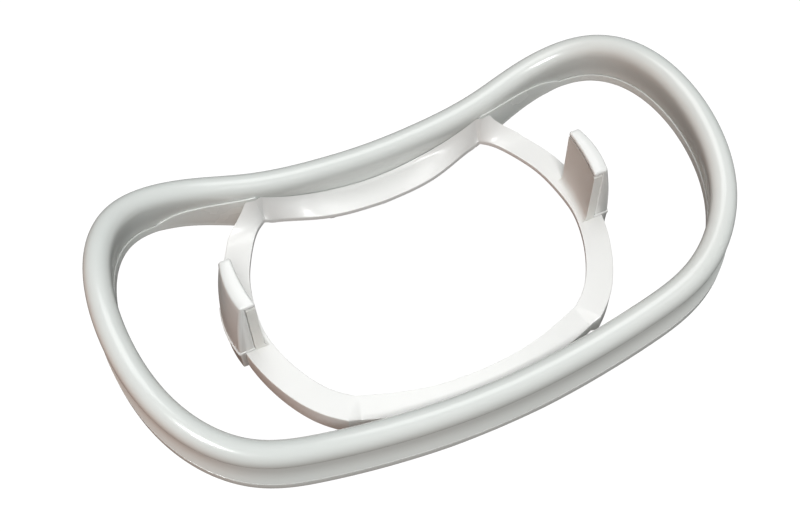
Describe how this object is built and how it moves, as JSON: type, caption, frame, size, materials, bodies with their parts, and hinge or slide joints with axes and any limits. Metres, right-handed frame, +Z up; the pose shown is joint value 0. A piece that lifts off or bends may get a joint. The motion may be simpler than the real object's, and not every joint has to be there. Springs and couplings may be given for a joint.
{
  "type": "cheek retractor",
  "caption": "Bean-shaped cheek and lip retractor: a round-beaded rim bowed to the face on a thin base strip, around a flat inner ring with an upright bite post on each side arc.",
  "frame": {"origin": "on the resting plane, under the middle of the object's box", "axes": "+X along the long side, +Y towards the notched side of the rim, +Z up, the way the bead and the posts face"},
  "size_m": [0.1126, 0.0612, 0.0246],
  "materials": {
    "rim": "polished white moulding",
    "base": "polished white moulding",
    "ring": "satin to gloss white moulding",
    "post_core": "satin white moulding",
    "post_cap": "polished white moulding"
  },
  "bodies": {
    "root": {"rim_shell": "rim", "base_loop": "base", "guide_ring": "ring", "left_post_core": "post_core", "left_post_cap": "post_cap", "right_post_core": "post_core", "right_post_cap": "post_cap"}
  },
  "joints": []
}
